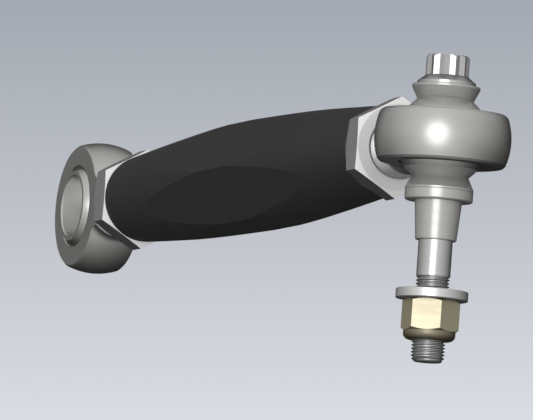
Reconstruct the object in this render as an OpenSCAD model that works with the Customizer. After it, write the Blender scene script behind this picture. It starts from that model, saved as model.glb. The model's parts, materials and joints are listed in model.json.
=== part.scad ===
// Adjustable steering tie rod: a barrel tube between two spherical rod ends.
// The outer end carries a through-bolt stud with a tapered sleeve for the steering arm.
// Origin at the centre of the inner eye, +X along the rod to the outer eye, +Z up the stud.
// The inner eye's bore lies along Y and the outer eye's bore along Z.
// Threads are plain cylinders at their outside diameter, with a small clearance in nuts and taps.

/* [Barrel tube] */
// Length of the tube between the two jam nuts
tube_l = 265; // [200:1:400]
// Wall left around the tapped hole at each end of the tube
tube_end_wall = 5.5; // [3.5:0.1:8]
// Growth in radius from the ends of the tube to its middle
tube_swell = 5.8; // [4.5:0.1:8]
// Outward bow of the side between each end and the middle
tube_bow = 0.4; // [0:0.1:1]
// Depth of the six wrench flats below the middle of the tube
flat_depth = 3.4; // [2.8:0.1:4]
// Depth of the tapped hole in each end
tap_depth = 62; // [50:1:95]
// Diameter of the drilled bore that joins the tapped holes
core_d = 17; // [8:0.5:18]
// Width of the broken edge on the tube's end faces
tube_end_break = 0.6; // [0.2:0.1:1]

/* [Shank threads] */
// Outside diameter of the rod ends' threads
thread_d = 22.2; // [20:0.1:25]
// Radial clearance of every thread in its nut or tapped hole
thread_clear = 0.06; // [0.03:0.01:0.1]
// Threaded length of each shank
thread_l = 54.5; // [48:0.5:60]
// Plain length of each shank, between its neck and its thread
plain_l = 9; // [5:0.5:12]
// Step in radius from the plain shank up to the thread
plain_step = 0.3; // [0.1:0.05:0.6]
// Chamfer on the end of each shank
shank_chamfer = 1.4; // [0.5:0.1:2]
// Bare shank between the inner neck and its jam nut
inner_show = 14; // [10:0.5:20]
// Bare shank between the outer neck and its jam nut
outer_show = 18.8; // [12:0.1:22]

/* [Jam nuts] */
// Width across the flats of each jam nut
jam_af = 33.4; // [31:0.1:38]
// Thickness of each jam nut
jam_t = 12.4; // [8:0.1:16]
// Width of the ring left flat inside the deep corner chamfer
jam_back_in = 1.5; // [0.5:0.1:3]
// Angle of the deep corner chamfer, from the face
jam_back_deg = 34; // [20:1:40]
// Width of the ring left flat inside the shallow corner chamfer
jam_front_in = 0.4; // [0.2:0.1:2]
// Angle of the shallow corner chamfer on the other face
jam_front_deg = 12; // [5:1:30]
// Countersink at both ends of the nut's thread
jam_sink = 0.9; // [0.3:0.1:1.5]

/* [Eyes] */
// Diameter of the ball
ball_d = 35.2; // [34.5:0.1:38]
// Width of the ball along its bore
ball_w = 22.4; // [21.5:0.1:24]
// Bore of the ball
ball_bore_d = 23.4; // [20:0.1:24]
// Chamfer at both mouths of the ball's bore
ball_break = 0.4; // [0.1:0.05:0.6]
// Radial running clearance between ball and liner
ball_clear = 0.08; // [0.04:0.01:0.1]
// Thickness of the slippery liner
liner_t = 0.6; // [0.4:0.05:1]
// How far the liner stops short of the race's faces
liner_recess = 0.7; // [0.3:0.05:1.5]
// Radial gap behind the liner and around the race
seat_fit = 0.02; // [0.01:0.01:0.05]
// Thinnest wall of the race, at its middle
race_wall = 1.9; // [1.2:0.05:3]
// Chamfer at both mouths of the race
race_break = 0.5; // [0.2:0.05:0.8]
// Wall of the eye around the race
eye_wall = 5.25; // [3.5:0.05:8]
// Width of each eye and of the flats on its neck
eye_w = 19.2; // [17:0.1:21]
// Chamfer where the eye's faces meet its rounded rim
eye_break = 0.5; // [0.1:0.05:0.8]
// Step in radius from the plain shank up to the neck
neck_step = 2.4; // [1:0.1:4]
// How far the neck reaches beyond the eye's rim
neck_out = 1.4; // [1:0.1:6]
// Radius of the hollow blend between eye and neck
neck_blend = 4; // [2:0.5:6]
// Chamfer on the end of the neck
neck_break = 0.6; // [0.2:0.1:1]

/* [Spacers] */
// Gap between a spacer's seat and the ball's face
seat_gap = 0.03; // [0.01:0.01:0.1]
// Radial fit of each spacer's nose in the ball's bore
nose_fit = 0.05; // [0.02:0.01:0.1]
// Gap between the two noses at the middle of the ball
nose_gap = 1; // [0.4:0.1:3]
// Diameter of each spacer's waist
waist_d = 21; // [18:0.1:22]
// Height from the ball's face to the waist
waist_h = 3; // [1.5:0.1:4]
// Height from the waist to the rim
flare_h = 4.5; // [3:0.1:7]
// Diameter of the rim of each spacer and of the sleeve's collar
rim_d = 25.4; // [24.5:0.1:28]
// Thickness of the spacer's rim
rim_t = 0.9; // [0.6:0.1:3]
// Chamfer on rims, noses and the washer
small_break = 0.25; // [0.1:0.05:0.3]

/* [Tapered sleeve] */
// Thickness of the sleeve's collar
collar_t = 3.8; // [2.5:0.1:7]
// Rounding of the collar's lower edge
collar_round = 0.7; // [0.3:0.1:1.2]
// Diameter of the taper where it leaves the collar
taper_top_d = 17.6; // [16.8:0.1:20]
// Diameter of the taper at its small end
taper_end_d = 15.4; // [14.8:0.1:16.5]
// Length of the taper
taper_l = 14.6; // [10:0.1:20]

/* [Through bolt] */
// Diameter of the bolt's shank
bolt_d = 12.7; // [11:0.1:13.5]
// Radial clearance of the bolt in spacers, sleeve and washer
bolt_fit = 0.06; // [0.03:0.01:0.2]
// Diameter of the flange under the bolt's head
bolt_flange_d = 21.8; // [18.5:0.1:24]
// Thickness of the flange's straight edge
bolt_flange_t = 1.3; // [0.8:0.1:2.5]
// Height of the cone between flange and head
bolt_cone_h = 2.3; // [1:0.1:4]
// Width across the flats of the twelve-point head
head_af = 14.2; // [12:0.1:15.5]
// Height of the twelve points
head_h = 7.6; // [5:0.1:10]
// Depth of the dished top of the head
head_dish = 0.8; // [0.3:0.1:2]
// Width of the flat rim left round the dish
head_rim = 1.2; // [0.6:0.1:2]
// Chamfer on the head's twelve points
head_point_break = 0.8; // [0.3:0.1:1.2]
// Threaded length of the bolt
bolt_thread_l = 32; // [29:0.5:38]
// Drop in radius from the shank to the crests of the thread
crest_drop = 0.08; // [0.02:0.01:0.15]
// Chamfer on the bolt's end
bolt_chamfer = 1.3; // [0.5:0.1:2]
// Bolt end showing past the lock nut
tip_l = 8; // [2:0.5:12]

/* [Washer and lock nut] */
// Room for the steering arm, from the collar to the washer
arm_grip = 33.2; // [28:0.1:42]
// Outside diameter of the washer
washer_d = 27; // [23:0.1:32]
// Thickness of the washer
washer_t = 3.5; // [1.5:0.1:5]
// Width across the flats of the lock nut
lock_af = 18.9; // [17.5:0.1:22]
// Width of the ring left flat inside the lock nut's corner chamfers
lock_ring_in = 0.3; // [0.1:0.1:1]
// Angle of the lock nut's corner chamfers, from the face
lock_chamfer_deg = 28; // [10:1:35]
// Height of the lock nut's hexagon
lock_hex_h = 11.9; // [7:0.1:13]
// Height of the rolled collar below the hexagon
lock_collar_h = 3.3; // [2.5:0.1:5]
// Step in radius from the hexagon's flats out to the rolled collar
lock_collar_out = 0.3; // [0:0.1:0.8]
// Rounding of the rolled collar
lock_collar_round = 2.3; // [1.2:0.1:2.4]
// Radial thickness of the insert that grips the thread
insert_t = 1.4; // [0.9:0.1:1.6]
// Height of the insert
insert_h = 2.6; // [1.5:0.1:3]
// Drop of the insert behind the collar's rolled lip
insert_recess = 0.4; // [0.2:0.1:0.8]
// How far the rolled lip reaches in over the insert
lip_cover = 0.7; // [0.3:0.1:0.8]

/* [Hidden] */
$fn = 96;
// Cutting shapes reach this far past what they cut
cut = 1;
eps = 0.01;
hex_fn = 6;
steel = [0.60, 0.59, 0.57];
bright_steel = [0.74, 0.74, 0.75];
nut_steel = [0.66, 0.66, 0.67];
black_coat = [0.10, 0.10, 0.105];
yellow_zinc = [0.80, 0.74, 0.55];
liner_grey = [0.25, 0.22, 0.18];
insert_white = [0.85, 0.85, 0.80];

// Eyes: each bearing is built outwards from its ball
liner_in_r = ball_d / 2 + ball_clear;
liner_out_r = liner_in_r + liner_t;
race_in_r = liner_out_r + seat_fit;
race_r = race_in_r + race_wall;
seat_r = race_r + seat_fit;
eye_r = seat_r + eye_wall;
eye_rim_r = sqrt(eye_r * eye_r - eye_w * eye_w / 4);
race_mouth_r = sqrt(race_in_r * race_in_r - eye_w * eye_w / 4);
ball_face_r = sqrt(ball_d * ball_d - ball_w * ball_w) / 2;

// Shanks, measured from the eye's centre
thread_r = thread_d / 2;
plain_r = thread_r - plain_step;
neck_r = plain_r + neck_step;
neck_end = eye_r + neck_out;
blend_x = sqrt(pow(eye_r + neck_blend, 2) - pow(neck_r + neck_blend, 2));
blend_start = blend_x * eye_r / (eye_r + neck_blend);
thread_start = neck_end + plain_l;
shank_end = thread_start + thread_l;

// Stations along the rod
inner_nut_x = neck_end + inner_show;
tube_x = inner_nut_x + jam_t;
outer_nut_x = tube_x + tube_l;
outer_eye_x = outer_nut_x + jam_t + outer_show + neck_end;

// Tube and nuts
tap_r = thread_r + thread_clear;
tube_end_r = tap_r + tube_end_wall;
tube_mid_r = tube_end_r + tube_swell;
tube_af = 2 * (tube_mid_r - flat_depth);
bow_steps = 8;

// Stud, measured down and up from the outer ball's centre
ball_face_z = ball_w / 2;
spacer_seat_z = ball_face_z + seat_gap;
waist_z = spacer_seat_z + waist_h;
flare_z = waist_z + flare_h;
rim_z = flare_z + rim_t;
nose_r = ball_bore_d / 2 - nose_fit;
spacer_bore_r = bolt_d / 2 + bolt_fit;
collar_z = rim_z + collar_t;
taper_z = collar_z + taper_l;
washer_z = collar_z + arm_grip;
lock_z = washer_z + washer_t;
lock_collar_z = lock_z + lock_hex_h;
lock_end_z = lock_collar_z + lock_collar_h;
tip_z = lock_end_z + tip_l;
bolt_thread_z = tip_z - bolt_thread_l;
crest_r = bolt_d / 2 - crest_drop;
lock_bore_r = crest_r + thread_clear;
lock_collar_r = lock_af / 2 + lock_collar_out;
head_z = rim_z + bolt_flange_t + bolt_cone_h;
head_top_z = head_z + head_h;
head_point_r = head_af / 2 / cos(30);

// Turns a half section, given as [radius, height] points, about Z
module turned(points) {
    rotate_extrude() polygon(points);
}

// Lays a piece built up Z along +X
module along_x() {
    rotate([0, 90, 0]) children();
}

// Puts a bearing piece, built with its bore up Z, in the inner eye
module at_inner_eye() {
    rotate([90, 0, 0]) children();
}

// Puts a bearing piece in the outer eye, with its shank back towards the tube
module at_outer_eye() {
    translate([outer_eye_x, 0, 0]) rotate([0, 0, 180]) children();
}

// Hexagonal blank with corner chamfers of its own at each end, built up Z
module hex_blank(af, height, low_in, low_deg, high_in, high_deg) {
    corner_r = af / 2 / cos(30);
    low_r = af / 2 - low_in;
    high_r = af / 2 - high_in;
    low_z = (corner_r - low_r) * tan(low_deg);
    high_z = height - (corner_r - high_r) * tan(high_deg);
    intersection() {
        cylinder(r = corner_r, h = height, $fn = hex_fn);
        turned([[0, 0], [low_r, 0], [corner_r, low_z], [corner_r, high_z], [high_r, height], [0, height]]);
    }
}

// Half section of the neck and shank, as [radius, distance from the eye's centre]
module shank_section() {
    difference() {
        polygon([
            [0, blend_start],
            [neck_r + neck_blend, blend_start],
            [neck_r + neck_blend, blend_x],
            [neck_r, blend_x],
            [neck_r, neck_end - neck_break],
            [neck_r - neck_break, neck_end],
            [plain_r, neck_end],
            [plain_r, thread_start],
            [thread_r, thread_start + plain_step],
            [thread_r, shank_end - shank_chamfer],
            [thread_r - shank_chamfer, shank_end],
            [0, shank_end]
        ]);
        translate([neck_r + neck_blend, blend_x]) circle(r = neck_blend);
    }
}

// Round-rimmed eye, as a slice of a sphere with its edges broken
module eye_band() {
    half = eye_w / 2;
    turn = 2 * eye_break;
    intersection() {
        sphere(r = eye_r);
        turned([
            [0, -half],
            [eye_rim_r - eye_break, -half],
            [eye_rim_r + eye_break, turn - half],
            [eye_r + cut, turn - half],
            [eye_r + cut, half - turn],
            [eye_rim_r + eye_break, half - turn],
            [eye_rim_r - eye_break, half],
            [0, half]
        ]);
    }
}

// Rod end body with its eye at the origin, bore along Z and shank along +X
module rod_end_body() {
    mill = 2 * eye_r;
    difference() {
        union() {
            eye_band();
            along_x() rotate_extrude() shank_section();
        }
        for (side = [-1, 1])
            translate([neck_end - mill / 2, 0, side * (eye_w + mill) / 2]) cube(mill, center = true);
        cylinder(r = seat_r, h = eye_w + 2 * cut, center = true);
    }
}

// Race pressed into the eye, hollowed to a ball seat
module bearing_race() {
    half = eye_w / 2;
    mouth = race_mouth_r + race_break;
    difference() {
        cylinder(r = race_r, h = eye_w, center = true);
        sphere(r = race_in_r);
        for (side = [0, 1])
            mirror([0, 0, side])
                turned([
                    [0, half - race_break],
                    [race_mouth_r, half - race_break],
                    [mouth, half],
                    [mouth, half + cut],
                    [0, half + cut]
                ]);
    }
}

// Thin slippery shell between race and ball
module bearing_liner() {
    intersection() {
        difference() {
            sphere(r = liner_out_r);
            sphere(r = liner_in_r);
        }
        cylinder(r = liner_out_r + cut, h = eye_w - 2 * liner_recess, center = true);
    }
}

// Ball with flat ends and a through bore
module bearing_ball() {
    bore_r = ball_bore_d / 2;
    half = ball_w / 2;
    difference() {
        intersection() {
            sphere(d = ball_d);
            cylinder(r = ball_d / 2 + cut, h = ball_w, center = true);
        }
        cylinder(r = bore_r, h = ball_w + 2 * cut, center = true);
        for (side = [0, 1])
            mirror([0, 0, side])
                turned([
                    [0, half - ball_break],
                    [bore_r, half - ball_break],
                    [bore_r + ball_break, half],
                    [bore_r + ball_break, half + cut],
                    [0, half + cut]
                ]);
    }
}

// Jam nut built up Z, with its deep chamfer at the lower face
module jam_nut() {
    difference() {
        hex_blank(jam_af, jam_t, jam_back_in, jam_back_deg, jam_front_in, jam_front_deg);
        translate([0, 0, -cut]) cylinder(r = tap_r, h = jam_t + 2 * cut);
        turned([[0, -eps], [tap_r + jam_sink + eps, -eps], [tap_r, jam_sink], [0, jam_sink]]);
        turned([[0, jam_t - jam_sink], [tap_r, jam_t - jam_sink], [tap_r + jam_sink + eps, jam_t + eps],
            [0, jam_t + eps]]);
    }
}

// Hourglass spacer above the ball, with its nose down in the ball's bore
module spacer() {
    turned([
        [spacer_bore_r, nose_gap / 2],
        [nose_r - small_break, nose_gap / 2],
        [nose_r, nose_gap / 2 + small_break],
        [nose_r, spacer_seat_z],
        [ball_face_r, spacer_seat_z],
        [waist_d / 2, waist_z],
        [rim_d / 2, flare_z],
        [rim_d / 2, rim_z - small_break],
        [rim_d / 2 - small_break, rim_z],
        [spacer_bore_r, rim_z]
    ]);
}

// Radius of the tube's side, with t from 0 at an end to 1 at the middle
function barrel_r(t) = tube_end_r + tube_swell * t + 4 * tube_bow * t * (1 - t);

module tube() {
    mid = tube_l / 2;
    side = [for (i = [1 : 2 * bow_steps - 1])
        [barrel_r(1 - abs(i / bow_steps - 1)), i * mid / bow_steps]];
    color(black_coat)
        translate([tube_x, 0, 0]) along_x() difference() {
            intersection() {
                turned(concat(
                    [[0, 0], [tube_end_r - tube_end_break, 0], [tube_end_r, tube_end_break]],
                    side,
                    [[tube_end_r, tube_l - tube_end_break], [tube_end_r - tube_end_break, tube_l], [0, tube_l]]
                ));
                rotate([0, 0, 30]) cylinder(r = tube_af / 2 / cos(30), h = tube_l, $fn = hex_fn);
            }
            translate([0, 0, -cut]) cylinder(d = core_d, h = tube_l + 2 * cut);
            translate([0, 0, -cut]) cylinder(r = tap_r, h = tap_depth + cut);
            translate([0, 0, tube_l - tap_depth]) cylinder(r = tap_r, h = tap_depth + cut);
        }
}

module inner_rod_end() {
    color(steel) at_inner_eye() rod_end_body();
}

module inner_race() {
    color(steel) at_inner_eye() bearing_race();
}

module inner_liner() {
    color(liner_grey) at_inner_eye() bearing_liner();
}

module inner_ball() {
    color(bright_steel) at_inner_eye() bearing_ball();
}

module inner_jam_nut() {
    color(nut_steel) translate([inner_nut_x, 0, 0]) along_x() jam_nut();
}

module outer_rod_end() {
    color(steel) at_outer_eye() rod_end_body();
}

module outer_race() {
    color(steel) at_outer_eye() bearing_race();
}

module outer_liner() {
    color(liner_grey) at_outer_eye() bearing_liner();
}

module outer_ball() {
    color(bright_steel) at_outer_eye() bearing_ball();
}

module outer_jam_nut() {
    color(nut_steel) translate([outer_nut_x, 0, 0]) along_x() jam_nut();
}

module upper_spacer() {
    color(steel) at_outer_eye() spacer();
}

module lower_spacer() {
    color(steel) at_outer_eye() mirror([0, 0, 1]) spacer();
}

module tapered_sleeve() {
    color(steel) at_outer_eye() rotate_extrude() difference() {
        polygon([
            [spacer_bore_r, -rim_z],
            [rim_d / 2, -rim_z],
            [rim_d / 2, -collar_z],
            [taper_top_d / 2, -collar_z],
            [taper_end_d / 2, small_break - taper_z],
            [taper_end_d / 2 - small_break, -taper_z],
            [spacer_bore_r, -taper_z]
        ]);
        translate([rim_d / 2 - collar_round, collar_round - collar_z]) difference() {
            translate([0, -collar_round - cut]) square(collar_round + cut);
            circle(r = collar_round);
        }
    }
}

// Twelve-point head on its flange, standing on z = 0
module bolt_head() {
    flange_r = bolt_flange_d / 2;
    base_h = bolt_flange_t + bolt_cone_h;
    top = base_h + head_h;
    dish_r = head_af / 2 - head_rim;
    turned([
        [0, 0],
        [flange_r - small_break, 0],
        [flange_r, small_break],
        [flange_r, bolt_flange_t],
        [head_point_r - small_break, base_h],
        [0, base_h]
    ]);
    difference() {
        intersection() {
            for (turn = [0, 30])
                rotate([0, 0, turn]) cylinder(r = head_point_r, h = top, $fn = hex_fn);
            turned([
                [0, 0],
                [head_point_r, 0],
                [head_point_r, top - head_point_break],
                [head_point_r - head_point_break, top],
                [0, top]
            ]);
        }
        turned([
            [0, top - head_dish],
            [dish_r - head_dish, top - head_dish],
            [dish_r, top],
            [dish_r, top + cut],
            [0, top + cut]
        ]);
    }
}

module through_bolt() {
    shank_r = bolt_d / 2;
    color(bright_steel) at_outer_eye() {
        translate([0, 0, rim_z]) bolt_head();
        turned([
            [0, -tip_z],
            [crest_r - bolt_chamfer, -tip_z],
            [crest_r, bolt_chamfer - tip_z],
            [crest_r, -bolt_thread_z],
            [shank_r, crest_drop - bolt_thread_z],
            [shank_r, rim_z + bolt_flange_t],
            [0, rim_z + bolt_flange_t]
        ]);
    }
}

module washer() {
    outer_r = washer_d / 2;
    color(nut_steel) at_outer_eye() turned([
        [spacer_bore_r, -lock_z],
        [outer_r - small_break, -lock_z],
        [outer_r, small_break - lock_z],
        [outer_r, -washer_z - small_break],
        [outer_r - small_break, -washer_z],
        [spacer_bore_r, -washer_z]
    ]);
}

// Hexagon, rolled collar and seat for the insert, hanging down from z = 0
module lock_nut_body() {
    height = lock_hex_h + lock_collar_h;
    lip_r = lock_collar_r - lock_collar_round;
    insert_seat_r = lock_bore_r + insert_t + seat_fit;
    difference() {
        union() {
            mirror([0, 0, 1]) hex_blank(lock_af, lock_hex_h, lock_ring_in, lock_chamfer_deg, lock_ring_in, lock_chamfer_deg);
            translate([0, 0, -lock_hex_h]) rotate_extrude() {
                translate([lip_r, lock_collar_round - lock_collar_h]) intersection() {
                    circle(r = lock_collar_round);
                    translate([0, -lock_collar_round]) square(lock_collar_round);
                }
                translate([0, lock_collar_round - lock_collar_h])
                    square([lock_collar_r, lock_collar_h - lock_collar_round]);
                translate([0, -lock_collar_h]) square([lip_r, lock_collar_h]);
            }
        }
        translate([0, 0, -height - cut]) cylinder(r = lock_bore_r, h = height + 2 * cut);
        translate([0, 0, -height - cut]) cylinder(r = insert_seat_r - lip_cover, h = insert_recess + 2 * cut);
        translate([0, 0, insert_recess - height]) cylinder(r = insert_seat_r, h = insert_h);
    }
}

module lock_nut() {
    color(yellow_zinc) at_outer_eye() translate([0, 0, -lock_z]) lock_nut_body();
}

module lock_nut_insert() {
    low = -lock_end_z + insert_recess;
    color(insert_white) at_outer_eye() turned([
        [lock_bore_r, low],
        [lock_bore_r + insert_t, low],
        [lock_bore_r + insert_t, low + insert_h],
        [lock_bore_r, low + insert_h]
    ]);
}

tube();
inner_rod_end();
inner_race();
inner_liner();
inner_ball();
inner_jam_nut();
outer_rod_end();
outer_race();
outer_liner();
outer_ball();
outer_jam_nut();
upper_spacer();
lower_spacer();
tapered_sleeve();
through_bolt();
washer();
lock_nut();
lock_nut_insert();
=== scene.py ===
"""Looks of the adjustable tie rod: its finishes, its cut threads, soft studio light and the camera.

All lengths are in metres, in the same frame as the solids.
"""

import json
import logging
import math
from collections.abc import Callable
from dataclasses import dataclass, replace
from enum import Enum

import bmesh
import bpy
from mathutils import Matrix, Vector

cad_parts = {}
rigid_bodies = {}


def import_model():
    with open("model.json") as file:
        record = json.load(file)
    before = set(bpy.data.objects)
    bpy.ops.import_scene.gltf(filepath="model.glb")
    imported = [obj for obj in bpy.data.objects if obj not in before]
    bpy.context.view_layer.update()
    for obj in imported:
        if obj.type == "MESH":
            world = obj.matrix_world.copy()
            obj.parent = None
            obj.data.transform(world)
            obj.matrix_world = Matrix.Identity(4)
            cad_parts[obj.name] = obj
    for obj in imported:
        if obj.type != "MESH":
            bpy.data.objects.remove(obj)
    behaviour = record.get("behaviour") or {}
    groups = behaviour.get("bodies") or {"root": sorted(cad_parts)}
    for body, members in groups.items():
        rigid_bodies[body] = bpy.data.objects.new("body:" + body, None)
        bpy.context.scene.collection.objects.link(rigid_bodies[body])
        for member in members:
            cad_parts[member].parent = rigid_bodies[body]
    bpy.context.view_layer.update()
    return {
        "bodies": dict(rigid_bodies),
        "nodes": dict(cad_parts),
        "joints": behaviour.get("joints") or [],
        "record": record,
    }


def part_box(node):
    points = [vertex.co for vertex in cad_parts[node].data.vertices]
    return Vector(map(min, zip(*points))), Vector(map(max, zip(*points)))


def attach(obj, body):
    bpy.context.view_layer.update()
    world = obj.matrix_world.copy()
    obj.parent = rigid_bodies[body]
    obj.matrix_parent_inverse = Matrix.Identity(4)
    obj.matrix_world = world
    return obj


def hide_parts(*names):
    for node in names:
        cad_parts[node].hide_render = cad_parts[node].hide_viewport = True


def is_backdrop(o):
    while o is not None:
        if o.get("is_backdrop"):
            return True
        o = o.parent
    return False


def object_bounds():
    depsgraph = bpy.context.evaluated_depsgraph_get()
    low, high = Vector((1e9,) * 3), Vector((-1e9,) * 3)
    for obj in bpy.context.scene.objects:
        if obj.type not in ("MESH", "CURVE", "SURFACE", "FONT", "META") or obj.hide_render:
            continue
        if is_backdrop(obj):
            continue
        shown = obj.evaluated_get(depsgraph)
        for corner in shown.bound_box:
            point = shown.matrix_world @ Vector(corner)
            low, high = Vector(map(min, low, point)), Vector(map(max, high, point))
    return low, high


log = logging.getLogger("tie_rod")

MM = 0.001
INCH = 0.0254
SHARP_ANGLE = math.radians(25)
DOUBLES_DISTANCE = 0.001 * MM
CUT_TOLERANCE = 0.0001 * MM
# How far a cut shank reaches into its new thread, so that the two can be joined
THREAD_LAP = 0.25 * MM
# Depth of a 60 degree thread, as a share of its pitch
THREAD_DEPTH = 0.6134
# Band in which most values of a noise texture lie
NOISE_BAND = (0.3, 0.7)
Colour = tuple[float, float, float]
Point = tuple[float, float, float]
Socket = bpy.types.NodeSocket


class Hand(Enum):
    """Direction in which a screw thread winds."""

    RIGHT = 1.0
    LEFT = -1.0


class TurningAxis(Enum):
    """Axis that a piece was turned about, as the rotation that brings it to the pattern's Z."""

    X = (0.0, math.radians(-90), 0.0)
    Y = (math.radians(90), 0.0, 0.0)
    Z = (0.0, 0.0, 0.0)


class NodeGraph:
    """Small helper that adds, fills and links the nodes of one tree."""

    def __init__(self, tree: bpy.types.NodeTree) -> None:
        """Keeps the tree.

        Args:
            tree: Shader or geometry node tree to build in.
        """
        self.tree = tree

    def add(self, kind: str, inputs: dict | None = None, **settings: object) -> bpy.types.Node:
        """Adds a node, sets its properties and fills its inputs.

        Args:
            kind: Node's type name.
            inputs: Input name or number to a value or to a socket that feeds it.
            **settings: Properties of the node itself.

        Returns:
            The new node.
        """
        node = self.tree.nodes.new(kind)
        for name, value in settings.items():
            setattr(node, name, value)
        for key, value in (inputs or {}).items():
            self.feed(node.inputs[key], value)
        return node

    def feed(self, socket: Socket, value: object) -> None:
        """Links a socket to an input, or sets the input's own value.

        Args:
            socket: Input to fill.
            value: Source socket, or a plain value.
        """
        if isinstance(value, Socket):
            self.tree.links.new(value, socket)
        else:
            socket.default_value = value

    def math(self, operation: str, first: object, second: object = 0.0,
             clamp: bool = False) -> Socket:
        """Adds a Math node.

        Args:
            operation: Name of the operation.
            first: First number or socket.
            second: Second number or socket.
            clamp: Whether the result is held between 0 and 1.

        Returns:
            The result's socket.
        """
        node = self.add("ShaderNodeMath", {0: first, 1: second}, operation=operation, use_clamp=clamp)
        return node.outputs[0]

    def spread(self, value: object, low: object, high: object, start: float = 0.0,
               end: float = 1.0) -> Socket:
        """Maps a value that runs from start to end smoothly onto low to high.

        Args:
            value: Socket to map.
            low: Result at start.
            high: Result at end.
            start: Value that gives low.
            end: Value that gives high.

        Returns:
            The result's socket.
        """
        node = self.add(
            "ShaderNodeMapRange",
            {"Value": value, "From Min": start, "From Max": end, "To Min": low, "To Max": high},
            interpolation_type="SMOOTHSTEP",
        )
        return node.outputs["Result"]

    def mix_colour(self, factor: object, first: object, second: object) -> Socket:
        """Mixes two colours.

        Args:
            factor: Share of the second colour.
            first: Colour, or its socket, at 0.
            second: Colour, or its socket, at 1.

        Returns:
            The mixed colour's socket.
        """
        node = self.add("ShaderNodeMix", data_type="RGBA")
        self.feed(node.inputs[0], factor)
        self.feed(node.inputs[6], first)
        self.feed(node.inputs[7], second)
        return node.outputs[2]

    def radius(self, place: Socket) -> Socket:
        """Measures how far a place lies from the pattern's Z.

        Args:
            place: Place on the piece, with its turning axis as Z.

        Returns:
            The radius's socket.
        """
        split = self.add("ShaderNodeSeparateXYZ", {0: place})
        flat = self.add("ShaderNodeCombineXYZ", {0: split.outputs["X"], 1: split.outputs["Y"]})
        length = self.add("ShaderNodeVectorMath", {0: flat.outputs[0]}, operation="LENGTH")
        return length.outputs["Value"]

    def dot(self, first: object, second: object) -> Socket:
        """Adds the dot product of two vectors.

        Args:
            first: Vector or its socket.
            second: Vector or its socket.

        Returns:
            The product's socket.
        """
        node = self.add("ShaderNodeVectorMath", {0: first, 1: second}, operation="DOT_PRODUCT")
        return node.outputs["Value"]


def rgba(colour: Colour) -> tuple[float, float, float, float]:
    """Gives a colour an alpha of 1."""
    return (*colour, 1.0)


def new_group(name: str, kind: str, inputs: list[tuple[str, str, object]],
              outputs: list[tuple[str, str]]) -> NodeGraph:
    """Makes an empty node group with named sockets.

    Args:
        name: Name of the group.
        kind: Type of its tree.
        inputs: Name, socket type and default value of each input.
        outputs: Name and socket type of each output.

    Returns:
        The graph of the new group.
    """
    tree = bpy.data.node_groups.new(name, kind)
    for label, socket_type, default in inputs:
        socket = tree.interface.new_socket(label, in_out="INPUT", socket_type=socket_type)
        if default is not None:
            socket.default_value = default
    for label, socket_type in outputs:
        tree.interface.new_socket(label, in_out="OUTPUT", socket_type=socket_type)
    return NodeGraph(tree)


def tool_marks_group() -> bpy.types.NodeTree:
    """Builds the fine rings that a lathe or a grinding wheel leaves round a pattern's Z.

    Returns:
        Group with Height, for a bump, and Streak, from 0 to 1, for colour and roughness.
    """
    slow_share = 0.12
    graph = new_group(
        "tool_marks", "ShaderNodeTree",
        [("Vector", "NodeSocketVector", None), ("Rings per Metre", "NodeSocketFloat", 4000.0)],
        [("Height", "NodeSocketFloat"), ("Streak", "NodeSocketFloat")],
    )
    entry = graph.add("NodeGroupInput")
    height = graph.add("ShaderNodeSeparateXYZ", {0: entry.outputs["Vector"]}).outputs["Z"]
    profile = graph.add("ShaderNodeCombineXYZ", {0: graph.radius(entry.outputs["Vector"]), 1: height})
    fine = graph.add(
        "ShaderNodeTexNoise",
        {"Vector": profile.outputs[0], "Scale": entry.outputs["Rings per Metre"], "Detail": 2.0},
        noise_dimensions="2D",
    )
    slow_scale = graph.math("MULTIPLY", entry.outputs["Rings per Metre"], slow_share)
    slow = graph.add(
        "ShaderNodeTexNoise",
        {"Vector": profile.outputs[0], "Scale": slow_scale, "Detail": 1.0},
        noise_dimensions="2D",
    )
    leave = graph.add("NodeGroupOutput")
    graph.feed(leave.inputs["Height"], fine.outputs[0])
    graph.feed(leave.inputs["Streak"], graph.spread(slow.outputs[0], 0.0, 1.0, *NOISE_BAND))
    return graph.tree


def mottle_group() -> bpy.types.NodeTree:
    """Builds the slow, cloudy change in tone that plated, coated and handled metal shows.

    Returns:
        Group with Cloud, from 0 to 1, and Grain, a fine height.
    """
    graph = new_group(
        "mottle", "ShaderNodeTree",
        [("Vector", "NodeSocketVector", None), ("Cloud Scale", "NodeSocketFloat", 70.0),
         ("Grain Scale", "NodeSocketFloat", 3000.0)],
        [("Cloud", "NodeSocketFloat"), ("Grain", "NodeSocketFloat")],
    )
    entry = graph.add("NodeGroupInput")
    cloud = graph.add(
        "ShaderNodeTexNoise",
        {"Vector": entry.outputs["Vector"], "Scale": entry.outputs["Cloud Scale"], "Detail": 4.0,
         "Roughness": 0.6},
    )
    grain = graph.add(
        "ShaderNodeTexNoise",
        {"Vector": entry.outputs["Vector"], "Scale": entry.outputs["Grain Scale"], "Detail": 3.0},
    )
    leave = graph.add("NodeGroupOutput")
    graph.feed(leave.inputs["Cloud"], graph.spread(cloud.outputs[0], 0.0, 1.0, *NOISE_BAND))
    graph.feed(leave.inputs["Grain"], grain.outputs[0])
    return graph.tree


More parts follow.
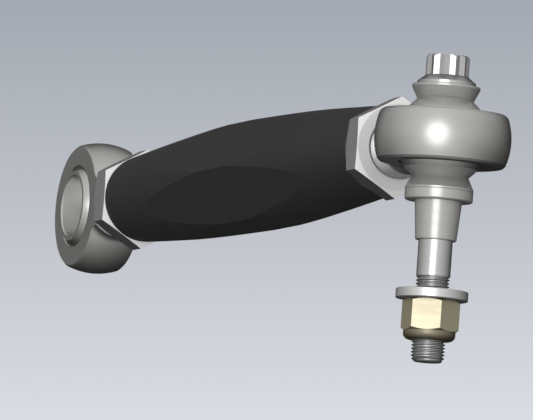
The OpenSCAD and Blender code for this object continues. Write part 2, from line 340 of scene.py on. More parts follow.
def weave_group() -> bpy.types.NodeTree:
    """Builds a plain weave of two crossing sets of threads.

    Returns:
        Group with Height, the rounded threads, and Gap, 1 between them.
    """
    gap_height, thread_height = 0.1, 0.5
    graph = new_group(
        "weave", "ShaderNodeTree",
        [("Vector", "NodeSocketVector", None), ("Threads per Metre", "NodeSocketFloat", 2500.0)],
        [("Height", "NodeSocketFloat"), ("Gap", "NodeSocketFloat")],
    )
    entry = graph.add("NodeGroupInput")
    angle = graph.math("MULTIPLY", entry.outputs["Threads per Metre"], math.pi)
    split = graph.add("ShaderNodeSeparateXYZ", {0: entry.outputs["Vector"]})
    waves = [
        graph.math("ABSOLUTE", graph.math("SINE", graph.math("MULTIPLY", split.outputs[axis], angle)))
        for axis in ("X", "Y", "Z")
    ]
    height = graph.math("MULTIPLY", graph.math("MAXIMUM", waves[0], waves[1]), waves[2])
    leave = graph.add("NodeGroupOutput")
    graph.feed(leave.inputs["Height"], height)
    graph.feed(leave.inputs["Gap"], graph.spread(height, 1.0, 0.0, gap_height, thread_height))
    return graph.tree


class EffectGroups:
    """The shader groups that more than one finish shares, each built once."""

    def __init__(self) -> None:
        """Builds the groups."""
        self.tool_marks = tool_marks_group()
        self.mottle = mottle_group()
        self.weave = weave_group()


@dataclass(frozen=True)
class FacedEndsWithPaintedLight:
    """The ends of a nut, brighter than its drawn flats: partly a faced-off finish, partly painted light
    that lifts their shade; the countersinks in them are painted bright over their shade.
    """

    colour: Colour
    metallic: float
    tilt_start: float = 0.80
    tilt_end: float = 0.97
    # Radius within which the countersinks are painted bright: painted light over their shade
    painted_light_sink_radius: float = 12.2 * MM
    edge: float = 0.15 * MM

    def mask(self, graph: NodeGraph, axis: TurningAxis, turned: Socket) -> Socket:
        """Finds the faces that look along the turning axis, and what lies within the countersinks,
        where light is painted over their shade.

        Args:
            graph: Material's graph.
            axis: Axis that the piece was turned about.
            turned: Place on the piece, with that axis as Z.

        Returns:
            Mask, 1 on the ends.
        """
        normal = graph.add("ShaderNodeTexCoord").outputs["Normal"]
        along = graph.add("ShaderNodeSeparateXYZ", {0: normal}).outputs[axis.name]
        ends = graph.spread(graph.math("ABSOLUTE", along), 0.0, 1.0, self.tilt_start, self.tilt_end)
        # Countersinks painted bright: painted light over the shade in them
        radius = graph.radius(turned)
        sinks = graph.spread(radius, 1.0, 0.0, self.painted_light_sink_radius, self.painted_light_sink_radius + self.edge)
        return graph.math("MAXIMUM", ends, sinks)


@dataclass(frozen=True)
class PaintedLightBore:
    """The bore of a piece, painted much brighter than the rest: painted light that lifts the shade
    inside the bore.
    """

    colour: Colour
    metallic: float
    radius: float
    edge: float = 0.15 * MM

    def mask(self, graph: NodeGraph, axis: TurningAxis, turned: Socket) -> Socket:
        """Finds what lies no further from the turning axis than the bore.

        Args:
            graph: Material's graph.
            axis: Axis that the piece was turned about; not used here.
            turned: Place on the piece, with that axis as Z.

        Returns:
            Mask, 1 in the bore.
        """
        return graph.spread(graph.radius(turned), 1.0, 0.0, self.radius, self.radius + self.edge)


@dataclass(frozen=True)
class PaintedShadeCollar:
    """The collar at the lower end of a nut, painted darker: painted shade that tones down the highlight
    on it.
    """

    colour: Colour
    metallic: float
    top: float
    edge: float = 0.15 * MM

    def mask(self, graph: NodeGraph, axis: TurningAxis, turned: Socket) -> Socket:
        """Finds what lies below the top of the collar.

        Args:
            graph: Material's graph.
            axis: Axis that the piece was turned about; not used here.
            turned: Place on the piece, with that axis as Z.

        Returns:
            Mask, 1 on the collar.
        """
        height = graph.add("ShaderNodeSeparateXYZ", {0: turned}).outputs["Z"]
        return graph.spread(height, 1.0, 0.0, self.top - self.edge, self.top + self.edge)


@dataclass(frozen=True)
class MetalFinish:
    """A metal surface with tool marks, a fine grain and a slight cloudiness, and an optional zone of
    another tone that can carry painted light or painted shade.
    """

    name: str
    colour: Colour
    shade: Colour
    roughness: float
    streak_roughness: float = 0.04
    metallic: float = 0.95
    specular: float = 0.5
    edge_tint: Colour = (0.05, 0.05, 0.05)
    rings_per_metre: float = 4000.0
    ring_depth: float = 0.0008 * MM
    cloud_scale: float = 60.0
    grain_scale: float = 2500.0
    grain_depth: float = 0.0015 * MM
    zone: FacedEndsWithPaintedLight | PaintedLightBore | PaintedShadeCollar | None = None

    def make(self, groups: EffectGroups, axis: TurningAxis,
             centre: Point = (0.0, 0.0, 0.0)) -> bpy.types.Material:
        """Makes the material for pieces that were turned about one axis.

        Args:
            groups: Shared effects.
            axis: Axis that the pieces were turned about.
            centre: Point on that axis, in metres.

        Returns:
            The new material.
        """
        material = bpy.data.materials.new(f"{self.name}_{axis.name.lower()}")
        material.use_nodes = True
        graph = NodeGraph(material.node_tree)
        shader = material.node_tree.nodes["Principled BSDF"]
        place = graph.add("ShaderNodeTexCoord").outputs["Object"]
        centred = graph.add("ShaderNodeVectorMath", {0: place, 1: centre}, operation="SUBTRACT")
        turned = graph.add("ShaderNodeMapping",
                           {"Vector": centred.outputs[0], "Rotation": axis.value}).outputs[0]
        marks = graph.add("ShaderNodeGroup", node_tree=groups.tool_marks)
        graph.feed(marks.inputs["Vector"], turned)
        graph.feed(marks.inputs["Rings per Metre"], self.rings_per_metre)
        clouds = graph.add("ShaderNodeGroup", node_tree=groups.mottle)
        graph.feed(clouds.inputs["Vector"], place)
        graph.feed(clouds.inputs["Cloud Scale"], self.cloud_scale)
        graph.feed(clouds.inputs["Grain Scale"], self.grain_scale)
        both = graph.math("ADD", marks.outputs["Streak"], clouds.outputs["Cloud"])
        tone = graph.math("MULTIPLY", both, 0.5)
        colour = graph.mix_colour(tone, rgba(self.shade), rgba(self.colour))
        shader.inputs["Metallic"].default_value = self.metallic
        # The zone's tone is painted light on nut ends, countersinks and the ball's bore, and painted
        # shade on the lock nut's collar
        if self.zone:
            mask = self.zone.mask(graph, axis, turned)
            colour = graph.mix_colour(mask, colour, rgba(self.zone.colour))
            graph.feed(shader.inputs["Metallic"], graph.spread(mask, self.metallic, self.zone.metallic))
        graph.feed(shader.inputs["Base Color"], colour)
        graph.feed(shader.inputs["Roughness"],
                   graph.spread(tone, self.roughness + self.streak_roughness, self.roughness))
        rings = graph.add("ShaderNodeBump",
                          {"Height": marks.outputs["Height"], "Distance": self.ring_depth})
        grain = graph.add("ShaderNodeBump",
                          {"Height": clouds.outputs["Grain"], "Distance": self.grain_depth,
                           "Normal": rings.outputs[0]})
        graph.feed(shader.inputs["Normal"], grain.outputs[0])
        shader.inputs["Specular IOR Level"].default_value = self.specular
        shader.inputs["Specular Tint"].default_value = rgba(self.edge_tint)
        return material


@dataclass(frozen=True)
class LinerFinish:
    """Woven slippery liner of a plain spherical bearing."""

    name: str = "woven_liner"
    thread: Colour = (0.16, 0.13, 0.10)
    gap: Colour = (0.05, 0.04, 0.03)
    roughness: float = 0.75
    threads_per_metre: float = 2600.0
    depth: float = 0.03 * MM

    def make(self, groups: EffectGroups) -> bpy.types.Material:
        """Makes the material.

        Args:
            groups: Shared effects.

        Returns:
            The new material.
        """
        material = bpy.data.materials.new(self.name)
        material.use_nodes = True
        graph = NodeGraph(material.node_tree)
        shader = material.node_tree.nodes["Principled BSDF"]
        weave = graph.add("ShaderNodeGroup", node_tree=groups.weave)
        graph.feed(weave.inputs["Vector"], graph.add("ShaderNodeTexCoord").outputs["Object"])
        graph.feed(weave.inputs["Threads per Metre"], self.threads_per_metre)
        graph.feed(shader.inputs["Base Color"],
                   graph.mix_colour(weave.outputs["Gap"], rgba(self.thread), rgba(self.gap)))
        bump = graph.add("ShaderNodeBump", {"Height": weave.outputs["Height"], "Distance": self.depth})
        graph.feed(shader.inputs["Normal"], bump.outputs[0])
        shader.inputs["Roughness"].default_value = self.roughness
        return material


@dataclass(frozen=True)
class InsertFinish:
    """Moulded plastic of the ring that grips the bolt's thread."""

    name: str = "moulded_insert"
    colour: Colour = (0.62, 0.62, 0.56)
    shade: Colour = (0.50, 0.50, 0.44)
    roughness: float = 0.42
    cloud_scale: float = 400.0
    grain_scale: float = 4000.0
    depth: float = 0.01 * MM

    def make(self, groups: EffectGroups) -> bpy.types.Material:
        """Makes the material.

        Args:
            groups: Shared effects.

        Returns:
            The new material.
        """
        material = bpy.data.materials.new(self.name)
        material.use_nodes = True
        graph = NodeGraph(material.node_tree)
        shader = material.node_tree.nodes["Principled BSDF"]
        clouds = graph.add("ShaderNodeGroup", node_tree=groups.mottle)
        graph.feed(clouds.inputs["Vector"], graph.add("ShaderNodeTexCoord").outputs["Object"])
        graph.feed(clouds.inputs["Cloud Scale"], self.cloud_scale)
        graph.feed(clouds.inputs["Grain Scale"], self.grain_scale)
        graph.feed(shader.inputs["Base Color"],
                   graph.mix_colour(clouds.outputs["Cloud"], rgba(self.shade), rgba(self.colour)))
        bump = graph.add("ShaderNodeBump", {"Height": clouds.outputs["Grain"], "Distance": self.depth})
        graph.feed(shader.inputs["Normal"], bump.outputs[0])
        shader.inputs["Roughness"].default_value = self.roughness
        return material


TURNED_STEEL = MetalFinish("turned_steel", (0.54, 0.535, 0.52), (0.51, 0.505, 0.49), 0.30)
RACE_STEEL = MetalFinish("race_steel", (0.54, 0.535, 0.52), (0.51, 0.505, 0.49), 0.28)
# The ball's bore is painted near white: painted light that lifts the shade inside it
BALL_STEEL = MetalFinish(
    "ball_steel", (0.54, 0.535, 0.52), (0.51, 0.505, 0.49), 0.28, ring_depth=0.0003 * MM,
    zone=PaintedLightBore((0.94, 0.935, 0.92), 0.90, 11.7 * MM),
)
SPACER_STEEL = MetalFinish(
    "spacer_steel", (0.53, 0.525, 0.51), (0.50, 0.495, 0.48), 0.25, metallic=0.63,
)
# Nut ends brighter: partly a faced finish, partly painted light; countersinks painted bright over their
# shade
NUT_STEEL = MetalFinish(
    "plated_nut", (0.64, 0.64, 0.64), (0.60, 0.60, 0.60), 0.36, metallic=1.0,
    zone=FacedEndsWithPaintedLight((0.95, 0.95, 0.95), 0.4),
)
# Cut threads a shade darker than the turned steel: partly their own finish, partly painted shade in the
# thread's grooves
CUT_THREAD_PAINTED_SHADE = MetalFinish("cut_thread_painted_shade", (0.50, 0.50, 0.495), (0.42, 0.42, 0.415), 0.34)
BOLT_STEEL = MetalFinish("bolt_steel", (0.58, 0.58, 0.575), (0.54, 0.54, 0.535), 0.23)
WASHER_STEEL = MetalFinish("washer_steel", (0.72, 0.72, 0.71), (0.68, 0.68, 0.67), 0.34)
YELLOW_ZINC = MetalFinish("yellow_zinc", (0.66, 0.61, 0.445), (0.62, 0.565, 0.41), 0.42, metallic=1.0)
BLACK_COAT = MetalFinish(
    "black_coat", (0.110, 0.111, 0.110), (0.103, 0.104, 0.103), 0.50, metallic=0.9, specular=0.10,
    edge_tint=(0.20, 0.20, 0.20), rings_per_metre=2500.0, ring_depth=0.0004 * MM,
)


def dress(piece: bpy.types.Object, material: bpy.types.Material) -> None:
    """Gives a piece one material.

    Args:
        piece: Mesh object.
        material: Its finish.
    """
    piece.data.materials.clear()
    piece.data.materials.append(material)
    log.info("dressed %s in %s", piece.name, material.name)


@dataclass(frozen=True)
class Thread:
    """A cut screw thread, built up Z from its run-out to its chamfered end."""

    crest_radius: float
    pitch: float
    length: float
    chamfer: float
    hand: Hand
    sides: int = 96

    @property
    def root_radius(self) -> float:
        """Radius at the bottom of a 60 degree thread."""
        return self.crest_radius - THREAD_DEPTH * self.pitch


def thread_tree() -> bpy.types.NodeTree:
    """Builds the tree that sweeps a thread's profile along its helix as one closed solid.

    Each row of the grid follows the helix, so the crests and roots lie on mesh edges.

    Returns:
        Geometry node tree with the thread's sizes as named inputs.
    """
    graph = new_group(
        "screw_thread", "GeometryNodeTree",
        [("Crest Radius", "NodeSocketFloat", 0.011), ("Root Radius", "NodeSocketFloat", 0.010),
         ("Pitch", "NodeSocketFloat", 0.0018), ("Length", "NodeSocketFloat", 0.05),
         ("Chamfer", "NodeSocketFloat", 0.0014), ("Hand", "NodeSocketFloat", 1.0),
         ("Sides", "NodeSocketInt", 96), ("Material", "NodeSocketMaterial", None)],
        [("Geometry", "NodeSocketGeometry")],
    )
    corners = 4
    root_flat, crest_flat = 0.25, 0.125
    flank = (1 - root_flat - crest_flat) / 2
    spare_turns, end_rows = 2.0, 2.0
    half_step = 0.5
    merge_distance = 0.002 * MM
    entry = graph.add("NodeGroupInput").outputs
    leave = graph.add("NodeGroupOutput")

    whole_turns = graph.math("CEIL", graph.math("DIVIDE", entry["Length"], entry["Pitch"]))
    turns = graph.math("ADD", whole_turns, spare_turns)
    rows = graph.math("ADD", graph.math("MULTIPLY", turns, corners), end_rows)
    columns = graph.math("ADD", entry["Sides"], 1.0)
    grid = graph.add("GeometryNodeMeshGrid", {"Vertices X": rows, "Vertices Y": columns})
    index = graph.add("GeometryNodeInputIndex").outputs[0]
    row = graph.math("FLOOR", graph.math("DIVIDE", graph.math("ADD", index, half_step), columns))
    column = graph.math("SUBTRACT", index, graph.math("MULTIPLY", row, columns))

    step = graph.math("SUBTRACT", row, 1.0)
    turn = graph.math("FLOOR", graph.math("DIVIDE", graph.math("ADD", step, half_step), corners))
    corner = graph.math("SUBTRACT", step, graph.math("MULTIPLY", turn, corners))
    past_root = graph.math("MULTIPLY", graph.math("ADD", corner, 0.0, clamp=True), root_flat)
    rise = graph.math("SUBTRACT", corner, 1.0, clamp=True)
    past_flank = graph.math("MULTIPLY", rise, flank)
    past_crest = graph.math("MULTIPLY", graph.math("SUBTRACT", corner, 2.0, clamp=True), crest_flat)
    phase = graph.math("ADD", past_root, graph.math("ADD", past_flank, past_crest))
    around = graph.math("DIVIDE", column, entry["Sides"])
    travel = graph.math("ADD", graph.math("ADD", turn, phase), graph.math("SUBTRACT", around, 1.0))
    free_height = graph.math("MULTIPLY", travel, entry["Pitch"])
    height = graph.math("MINIMUM", graph.math("MAXIMUM", free_height, 0.0), entry["Length"])

    depth = graph.math("SUBTRACT", entry["Crest Radius"], entry["Root Radius"])
    ridge = graph.math("ADD", entry["Root Radius"], graph.math("MULTIPLY", rise, depth))
    run_out = graph.math("ADD", entry["Root Radius"], height)
    to_end = graph.math("SUBTRACT", entry["Length"], height)
    end_radius = graph.math("SUBTRACT", entry["Crest Radius"], entry["Chamfer"])
    end_limit = graph.math("ADD", end_radius, to_end)
    cut = graph.math("MINIMUM", graph.math("MINIMUM", ridge, run_out), end_limit)
    not_first = graph.math("MINIMUM", row, 1.0)
    rows_left = graph.math("SUBTRACT", graph.math("SUBTRACT", rows, 1.0), row)
    not_last = graph.math("MINIMUM", rows_left, 1.0)
    radius = graph.math("MULTIPLY", cut, graph.math("MULTIPLY", not_first, not_last))

    angle = graph.math("MULTIPLY", graph.math("MULTIPLY", around, 2 * math.pi), entry["Hand"])
    place = graph.add("ShaderNodeCombineXYZ", {
        "X": graph.math("MULTIPLY", radius, graph.math("COSINE", angle)),
        "Y": graph.math("MULTIPLY", radius, graph.math("SINE", angle)),
        "Z": height,
    })
    swept = graph.add("GeometryNodeSetPosition",
                      {"Geometry": grid.outputs["Mesh"], "Position": place.outputs[0]})
    joined = graph.add("GeometryNodeMergeByDistance",
                       {"Geometry": swept.outputs[0], "Distance": merge_distance})
    real = graph.add("GeometryNodeRealizeInstances", {"Geometry": joined.outputs[0]})
    dressed = graph.add("GeometryNodeSetMaterial",
                        {"Geometry": real.outputs[0], "Material": entry["Material"]})
    graph.feed(leave.inputs["Geometry"], dressed.outputs[0])
    return graph.tree


def grow_thread(thread: Thread, tree: bpy.types.NodeTree, material: bpy.types.Material,
                place: Matrix) -> bpy.types.Object:
    """Grows one thread with Geometry Nodes and turns it into a plain mesh in its place.

    Args:
        thread: Sizes of the thread.
        tree: Tree from thread_tree.
        material: Finish of the thread.
        place: Where the thread's own Z axis and start go.

    Returns:
        Mesh object at the origin, with its place in its mesh.
    """
    seed = bpy.data.objects.new("thread_seed", bpy.data.meshes.new("thread_seed"))
    bpy.context.scene.collection.objects.link(seed)
    modifier = seed.modifiers.new("screw_thread", "NODES")
    modifier.node_group = tree
    values = {
        "Crest Radius": thread.crest_radius, "Root Radius": thread.root_radius, "Pitch": thread.pitch,
        "Length": thread.length, "Chamfer": thread.chamfer, "Hand": thread.hand.value,
        "Sides": thread.sides, "Material": material,
    }
    for item in tree.interface.items_tree:
        if item.in_out == "INPUT":
            modifier[item.identifier] = values[item.name]
    depsgraph = bpy.context.evaluated_depsgraph_get()
    mesh = bpy.data.meshes.new_from_object(seed.evaluated_get(depsgraph))
    bpy.data.objects.remove(seed)
    mesh.transform(place)
    return link_mesh("thread", mesh)


def link_mesh(name: str, mesh: bpy.types.Mesh) -> bpy.types.Object:
    """Puts a mesh in the scene as an object at the origin.

    Args:
        name: Name of the object.
        mesh: Its mesh.

    Returns:
        The new object.
    """
    piece = bpy.data.objects.new(name, mesh)
    bpy.context.scene.collection.objects.link(piece)
    return piece


def face_outwards(mesh: bpy.types.Mesh) -> None:
    """Merges a mesh's doubles and points its faces outwards.

    Args:
        mesh: Closed mesh, changed in place.
    """
    shape = bmesh.new()
    shape.from_mesh(mesh)
    bmesh.ops.remove_doubles(shape, verts=shape.verts, dist=DOUBLES_DISTANCE)
    bmesh.ops.recalc_face_normals(shape, faces=shape.faces)
    shape.to_mesh(mesh)
    shape.free()


def cut_copy(node: bpy.types.Object, name: str, cut_at: Vector, towards: Vector) -> bpy.types.Object:
    """Copies a solid, cuts it off at a plane and closes the cut.

    Args:
        node: Solid from the frame, which stays as it is.
        name: Name of the copy.
        cut_at: Point on the cutting plane.
        towards: Direction of the side that is cut away.

    Returns:
        The closed copy.
    """
    shape = bmesh.new()
    shape.from_mesh(node.data)
    bmesh.ops.remove_doubles(shape, verts=shape.verts, dist=DOUBLES_DISTANCE)
    everything = [*shape.verts, *shape.edges, *shape.faces]
    bmesh.ops.bisect_plane(shape, geom=everything, dist=CUT_TOLERANCE, plane_co=cut_at,
                           plane_no=towards, clear_outer=True)
    rim = [edge for edge in shape.edges if edge.is_boundary]
    bmesh.ops.edgeloop_fill(shape, edges=rim)
    mesh = bpy.data.meshes.new(name)
    shape.to_mesh(mesh)
    shape.free()
    return link_mesh(name, mesh)


def weld_on(piece: bpy.types.Object, addition: bpy.types.Object) -> None:
    """Joins a closed addition to a closed piece as one solid.

    Args:
        piece: Piece that stays.
        addition: Solid that is taken up into it.
    """
    union = piece.modifiers.new("union", "BOOLEAN")
    union.operation = "UNION"
    union.solver = "EXACT"
    union.object = addition
    depsgraph = bpy.context.evaluated_depsgraph_get()
    joined = bpy.data.meshes.new_from_object(piece.evaluated_get(depsgraph))
    piece.modifiers.clear()
    piece.data = joined
    joined.name = piece.name
    bpy.data.objects.remove(addition)
    old_normals = joined.attributes.get("custom_normal")
    if old_normals:
        joined.attributes.remove(old_normals)
    face_outwards(joined)
    joined.shade_smooth()
    joined.set_sharp_from_angle(angle=SHARP_ANGLE)


def dress_part(piece: bpy.types.Object, material: bpy.types.Material,
               chosen: Callable[[Vector], bool]) -> None:
    """Gives some faces of a new piece a finish of their own.

    Args:
        piece: Mesh object that already has its main finish.
        material: Finish of the chosen faces.
        chosen: Tells from a face's centre whether it is one of them.
    """
    slot = len(piece.data.materials)
    piece.data.materials.append(material)
    for face in piece.data.polygons:
        if chosen(face.center):
            face.material_index = slot
    log.info("dressed part of %s in %s", piece.name, material.name)


class Workshop:
    """The frame's nodes and what every sub-assembly needs to finish its pieces."""

    def __init__(self, frame: dict) -> None:
        """Keeps the nodes and builds the shared trees.
        """
        self.nodes: dict[str, bpy.types.Object] = frame["nodes"]
        self.slots = {part["node"]: part["material_slot"] for part in frame["record"]["subparts"]}
        self.bodies = {
            node: body
            for body, members in frame["record"]["behaviour"]["bodies"].items()
            for node in members
        }
        self.groups = EffectGroups()
        self.thread_tree = thread_tree()

    def dress_node(self, name: str, material: bpy.types.Material) -> None:
        """Gives a node of the frame a finish."""
        dress(self.nodes[name], material)

    def thread_node(self, name: str, thread: Thread, start: Vector, along: Vector,
                    material: bpy.types.Material, cut: bpy.types.Material) -> bpy.types.Object:
        """Replaces the plain threaded end of a node with a cut thread.

        Args:
            name: Node of the frame.
            thread: Thread to cut.
            start: Where the thread's run-out begins, on the shank's axis.
            along: Direction from there to the shank's end.
            material: Finish of the piece.
            cut: Finish of its thread.

        Returns:
            The new piece, riding on the node's body.
        """
        piece = cut_copy(self.nodes[name], f"{name}_cut", start + along * THREAD_LAP, along)
        place = Matrix.Translation(start) @ along.to_track_quat("Z", "Y").to_matrix().to_4x4()
        weld_on(piece, grow_thread(thread, self.thread_tree, material, place))
        dress(piece, material)
        dress_part(piece, cut, lambda centre: (centre - start).dot(along) > THREAD_LAP)
        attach(piece, self.bodies[name])
        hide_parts(name)
        log.info("cut a %s-hand thread on %s, %d faces", thread.hand.name.lower(), name,
                 len(piece.data.polygons))
        return piece


@dataclass
class RodEnd:
    """One rod end with its spherical bearing and its threaded shank."""

    prefix: str
    bore_axis: TurningAxis
    outwards: float
    hand: Hand
    eye_reach: float = 25.6 * MM
    thread_length: float = 54.5 * MM
    crest_radius: float = 11.1 * MM
    pitch: float = INCH / 14
    chamfer: float = 1.4 * MM

    def build(self, shop: Workshop) -> None:
        """Dresses the bearing and cuts the shank's thread.

        Args:
            shop: Nodes and shared trees.
        """
        low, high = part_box(f"{self.prefix}_ball")
        centre = tuple((low + high) / 2)
        shop.dress_node(f"{self.prefix}_ball", BALL_STEEL.make(shop.groups, self.bore_axis, centre))
        shop.dress_node(f"{self.prefix}_race", RACE_STEEL.make(shop.groups, self.bore_axis, centre))
        shop.dress_node(f"{self.prefix}_liner", LinerFinish().make(shop.groups))
        low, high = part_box(f"{self.prefix}_rod_end")
        along = Vector((self.outwards, 0.0, 0.0))
        end = high.x if self.outwards > 0 else low.x
        start = Vector((end, 0.0, 0.0)) - along * self.thread_length
        thread = Thread(self.crest_radius, self.pitch, self.thread_length, self.chamfer, self.hand)
        eye_steel = TURNED_STEEL.make(shop.groups, self.bore_axis, centre)
        shank_steel = TURNED_STEEL.make(shop.groups, TurningAxis.X)
        cut_steel = CUT_THREAD_PAINTED_SHADE.make(shop.groups, TurningAxis.X)
        piece = shop.thread_node(f"{self.prefix}_rod_end", thread, start, along, eye_steel, cut_steel)
        thread_start = (start.x - centre[0]) * self.outwards
        dress_part(piece, shank_steel,
                   lambda place: self.eye_reach < (place.x - centre[0]) * self.outwards < thread_start)


@dataclass
class Barrel:
    """The barrel tube and the two jam nuts that lock it."""

    coat: MetalFinish = BLACK_COAT
    nuts: MetalFinish = NUT_STEEL

    def build(self, shop: Workshop) -> None:
        """Dresses the tube and its nuts.

        Args:
            shop: Nodes and shared trees.
        """
        shop.dress_node("tube", self.coat.make(shop.groups, TurningAxis.X))
        plated = self.nuts.make(shop.groups, TurningAxis.X)
        for name in ("inner_jam_nut", "outer_jam_nut"):
            shop.dress_node(name, plated)


@dataclass
class Stud:
    """The through bolt with its spacers, tapered sleeve, washer and lock nut."""

    thread_length: float = 32 * MM
    crest_radius: float = 6.27 * MM
    pitch: float = INCH / 20
    chamfer: float = 1.3 * MM
    sides: int = 72
    collar_height: float = 3.3 * MM
    # Colour of the lock nut's collar, painted darker: painted shade that tones down its highlight
    collar_painted_shade: Colour = (0.28, 0.255, 0.18)

    def build(self, shop: Workshop) -> None:
        """Dresses the stud's pieces and cuts the bolt's thread.

        Args:
            shop: Nodes and shared trees.
        """
        low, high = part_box("through_bolt")
        axis_point = ((low.x + high.x) / 2, 0.0, 0.0)
        steel = SPACER_STEEL.make(shop.groups, TurningAxis.Z, axis_point)
        for name in ("upper_spacer", "lower_spacer", "tapered_sleeve"):
            shop.dress_node(name, steel)
        shop.dress_node("washer", WASHER_STEEL.make(shop.groups, TurningAxis.Z, axis_point))
        # The collar zone paints shade: a darker tone that tones down the collar's highlight
        collar = PaintedShadeCollar(self.collar_painted_shade, 1.0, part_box("lock_nut")[0].z + self.collar_height)
        zinc = replace(YELLOW_ZINC, zone=collar)
        shop.dress_node("lock_nut", zinc.make(shop.groups, TurningAxis.Z, axis_point))
        shop.dress_node("lock_nut_insert", InsertFinish().make(shop.groups))
        start = Vector((axis_point[0], 0.0, low.z + self.thread_length))
        thread = Thread(self.crest_radius, self.pitch, self.thread_length, self.chamfer, Hand.RIGHT,
                        self.sides)
        bright = BOLT_STEEL.make(shop.groups, TurningAxis.Z, axis_point)
        cut_steel = CUT_THREAD_PAINTED_SHADE.make(shop.groups, TurningAxis.Z, axis_point)
        shop.thread_node("through_bolt", thread, start, Vector((0.0, 0.0, -1.0)), bright, cut_steel)


@dataclass
class PhotoCamera:
    """Long-lens camera at the photograph's viewing angle."""

    image_width: int = 533
    image_height: int = 420
    azimuth: float = math.radians(70.0)
    elevation: float = math.radians(-5.69)
    roll: float = math.radians(4.05)
    metres_per_pixel: float = 0.3802 * MM
    focal_mm: float = 1200.0
    sensor_mm: float = 36.0
    near_clip: float = 0.1
    far_clip: float = 4.0
    middle_px: tuple[float, float] = (266.1, 174.5)

    def axes(self) -> tuple[Vector, Vector, Vector]:
        """Works out the image's right and up directions and the direction back to the camera.

        Returns:
            Right, up and back, as unit vectors.
        """
        back = Vector((
            math.sin(self.azimuth) * math.cos(self.elevation),
            -math.cos(self.azimuth) * math.cos(self.elevation),
            math.sin(self.elevation),
        ))
        level_right = Vector((0.0, 0.0, 1.0)).cross(back).normalized()
        level_up = back.cross(level_right)
        right = level_right * math.cos(self.roll) + level_up * math.sin(self.roll)
        return right, back.cross(right), back

    def build(self) -> None:
        """Makes the camera and aims it so that the middle of the rod falls on its pixel."""
        right, up, back = self.axes()
        inner = sum(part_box("inner_ball"), Vector()) / 2
        outer = sum(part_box("outer_ball"), Vector()) / 2
        middle = (inner + outer) / 2
        across = self.middle_px[0] - self.image_width / 2
        down = self.middle_px[1] - self.image_height / 2
        distance = self.metres_per_pixel * self.image_width * self.focal_mm / self.sensor_mm
        aim = middle - right * across * self.metres_per_pixel + up * down * self.metres_per_pixel
        data = bpy.data.cameras.new("photo_camera")
        data.lens = self.focal_mm
        data.sensor_width = self.sensor_mm
        data.clip_start = distance * self.near_clip
        data.clip_end = distance * self.far_clip
        camera = bpy.data.objects.new("photo_camera", data)
        camera.matrix_world = Matrix.Translation(aim + back * distance) @ Matrix(
            (right, up, back)).transposed().to_4x4()
        bpy.context.scene.collection.objects.link(camera)
        bpy.context.scene.camera = camera


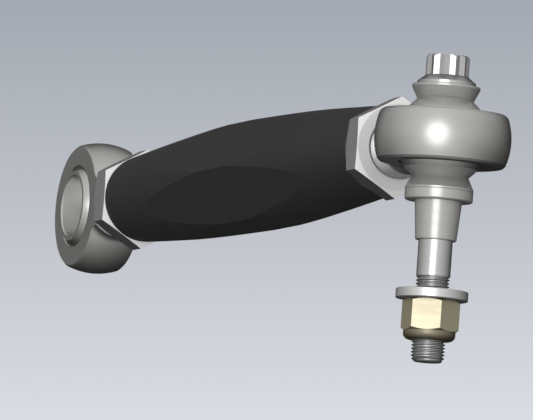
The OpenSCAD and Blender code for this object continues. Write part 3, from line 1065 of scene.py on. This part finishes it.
@dataclass
class Studio:
    """Pale floor, soft light and a plain backdrop."""

    camera: PhotoCamera
    floor_drop: float = 0.06
    floor_size: float = 60.0
    floor_colour: Colour = (0.92, 0.93, 0.95)
    floor_roughness: float = 0.9
    sky_bottom: Colour = (0.694, 0.724, 0.761)
    sky_middle: Colour = (0.515, 0.533, 0.578)
    sky_top: Colour = (0.368, 0.396, 0.442)
    front_light: float = 0.94
    back_light: float = 0.07
    fall_off: float = 1.2
    top_light: float = 0.50
    top_height: float = 0.9
    under_shade: float = 0.90
    shade_full: float = -0.35
    shade_none: float = 0.12
    key_strength: float = 0.62
    key_angle: float = math.radians(36)
    key_up: float = math.radians(9)
    key_left: float = math.radians(9.6)
    fill_light: float = 0.26
    fill_azimuth: float = math.radians(-72)
    fill_elevation: float = math.radians(10)
    fill_edge: float = 0.82

    def key_direction(self) -> Vector:
        """Gives the direction from the object to the middle of the key light."""
        right, up, back = self.camera.axes()
        return (back + up * math.tan(self.key_up) - right * math.tan(self.key_left)).normalized()

    def fill_direction(self) -> Vector:
        """Gives the direction from the object to the fill light, behind and to the left."""
        level = math.cos(self.fill_elevation)
        return Vector((math.sin(self.fill_azimuth) * level, -math.cos(self.fill_azimuth) * level,
                       math.sin(self.fill_elevation)))

    def build(self) -> None:
        """Makes the floor, the key light and the world."""
        self.lay_floor()
        self.hang_key()
        self.light_world()
        bpy.context.scene.view_settings.view_transform = "Standard"

    def lay_floor(self) -> None:
        """Lays a large pale floor that is clear when seen from below."""
        low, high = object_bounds()
        centre = (low + high) / 2
        mesh = bpy.data.meshes.new("floor")
        half = self.floor_size / 2
        corners = [(centre.x + x * half, centre.y + y * half, low.z - self.floor_drop)
                   for x, y in ((-1, -1), (1, -1), (1, 1), (-1, 1))]
        mesh.from_pydata(corners, [], [(0, 1, 2, 3)])
        floor = link_mesh("floor", mesh)
        material = bpy.data.materials.new("pale_floor")
        material.use_nodes = True
        graph = NodeGraph(material.node_tree)
        shader = material.node_tree.nodes["Principled BSDF"]
        shader.inputs["Base Color"].default_value = rgba(self.floor_colour)
        shader.inputs["Roughness"].default_value = self.floor_roughness
        clear = graph.add("ShaderNodeBsdfTransparent")
        below = graph.add("ShaderNodeNewGeometry").outputs["Backfacing"]
        mix = graph.add("ShaderNodeMixShader", {0: below, 1: shader.outputs[0], 2: clear.outputs[0]})
        graph.feed(material.node_tree.nodes["Material Output"].inputs["Surface"], mix.outputs[0])
        dress(floor, material)
        floor.visible_glossy = False
        floor.visible_diffuse = False
        floor.visible_shadow = False
        floor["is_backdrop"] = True

    def hang_key(self) -> None:
        """Hangs the wide key light near the camera, a little up and to the left."""
        data = bpy.data.lights.new("key", "SUN")
        data.energy = self.key_strength
        data.angle = self.key_angle
        key = bpy.data.objects.new("key", data)
        key.rotation_mode = "QUATERNION"
        key.rotation_quaternion = self.key_direction().to_track_quat("Z", "Y")
        bpy.context.scene.collection.objects.link(key)

    def backdrop(self, graph: NodeGraph, direction: Socket) -> Socket:
        """Grades the pale backdrop from the bottom of the image to its top.

        Args:
            graph: World's graph.
            direction: Direction that is looked in.

        Returns:
            The socket of the backdrop's colour.
        """
        _, up, _ = self.camera.axes()
        half_view = math.atan(self.camera.sensor_mm / 2 / self.camera.focal_mm)
        half_view *= self.camera.image_height / self.camera.image_width
        grade = graph.add("ShaderNodeMapRange", {
            "Value": graph.dot(direction, up), "From Min": -half_view, "From Max": half_view,
        }).outputs["Result"]
        ramp = graph.add("ShaderNodeValToRGB", {0: grade})
        ramp.color_ramp.elements[0].color = rgba(self.sky_bottom)
        ramp.color_ramp.elements[1].color = rgba(self.sky_top)
        ramp.color_ramp.elements.new(0.5).color = rgba(self.sky_middle)
        return ramp.outputs[0]

    def room_light(self, graph: NodeGraph, direction: Socket) -> Socket:
        """Makes the soft light: strong from the key's side, shaded below and behind, filled from above.

        Args:
            graph: World's graph.
            direction: Direction that the light comes from.

        Returns:
            The socket of the light's strength.
        """
        towards_key = graph.dot(direction, self.key_direction())
        frontness = graph.math("MULTIPLY", graph.math("ADD", towards_key, 1.0), 0.5)
        round_about = graph.add("ShaderNodeMapRange", {
            "Value": graph.math("POWER", frontness, self.fall_off),
            "To Min": self.back_light, "To Max": self.front_light,
        }).outputs["Result"]
        height = graph.add("ShaderNodeSeparateXYZ", {0: direction}).outputs["Z"]
        below = graph.spread(height, self.under_shade, 0.0, self.shade_full, self.shade_none)
        shade = graph.math("MULTIPLY", below, graph.math("SUBTRACT", 1.0, frontness))
        sides = graph.math("MULTIPLY", round_about, graph.math("SUBTRACT", 1.0, shade))
        towards_fill = graph.dot(direction, self.fill_direction())
        fill = graph.spread(towards_fill, 0.0, self.fill_light, self.fill_edge)
        top = graph.spread(height, 0.0, self.top_light, 0.0, self.top_height)
        room_left = graph.math("SUBTRACT", 1.0, sides)
        added = graph.math("MULTIPLY", graph.math("ADD", top, fill), room_left)
        return graph.math("ADD", sides, added)

    def light_world(self) -> None:
        """Lights the world softly, with a pale graded backdrop for the camera."""
        world = bpy.data.worlds.new("studio")
        bpy.context.scene.world = world
        world.use_nodes = True
        graph = NodeGraph(world.node_tree)
        direction = graph.add("ShaderNodeTexCoord").outputs["Generated"]
        strength = self.room_light(graph, direction)
        light = graph.add("ShaderNodeCombineColor", {0: strength, 1: strength, 2: strength})
        seen = graph.add("ShaderNodeLightPath").outputs["Is Camera Ray"]
        colour = graph.mix_colour(seen, light.outputs[0], self.backdrop(graph, direction))
        graph.feed(world.node_tree.nodes["Background"].inputs["Color"], colour)


def main() -> None:
    """Loads the frame, then builds, dresses and lights the tie rod."""
    logging.basicConfig(level=logging.INFO, format="%(name)s: %(message)s")
    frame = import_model()
    camera = PhotoCamera()
    camera.build()
    shop = Workshop(frame)
    assemblies = [
        RodEnd("inner", TurningAxis.Y, 1.0, Hand.RIGHT),
        RodEnd("outer", TurningAxis.Z, -1.0, Hand.LEFT),
        Barrel(),
        Stud(),
    ]
    for assembly in assemblies:
        assembly.build(shop)
    Studio(camera).build()


if __name__ == "__main__":
    main()
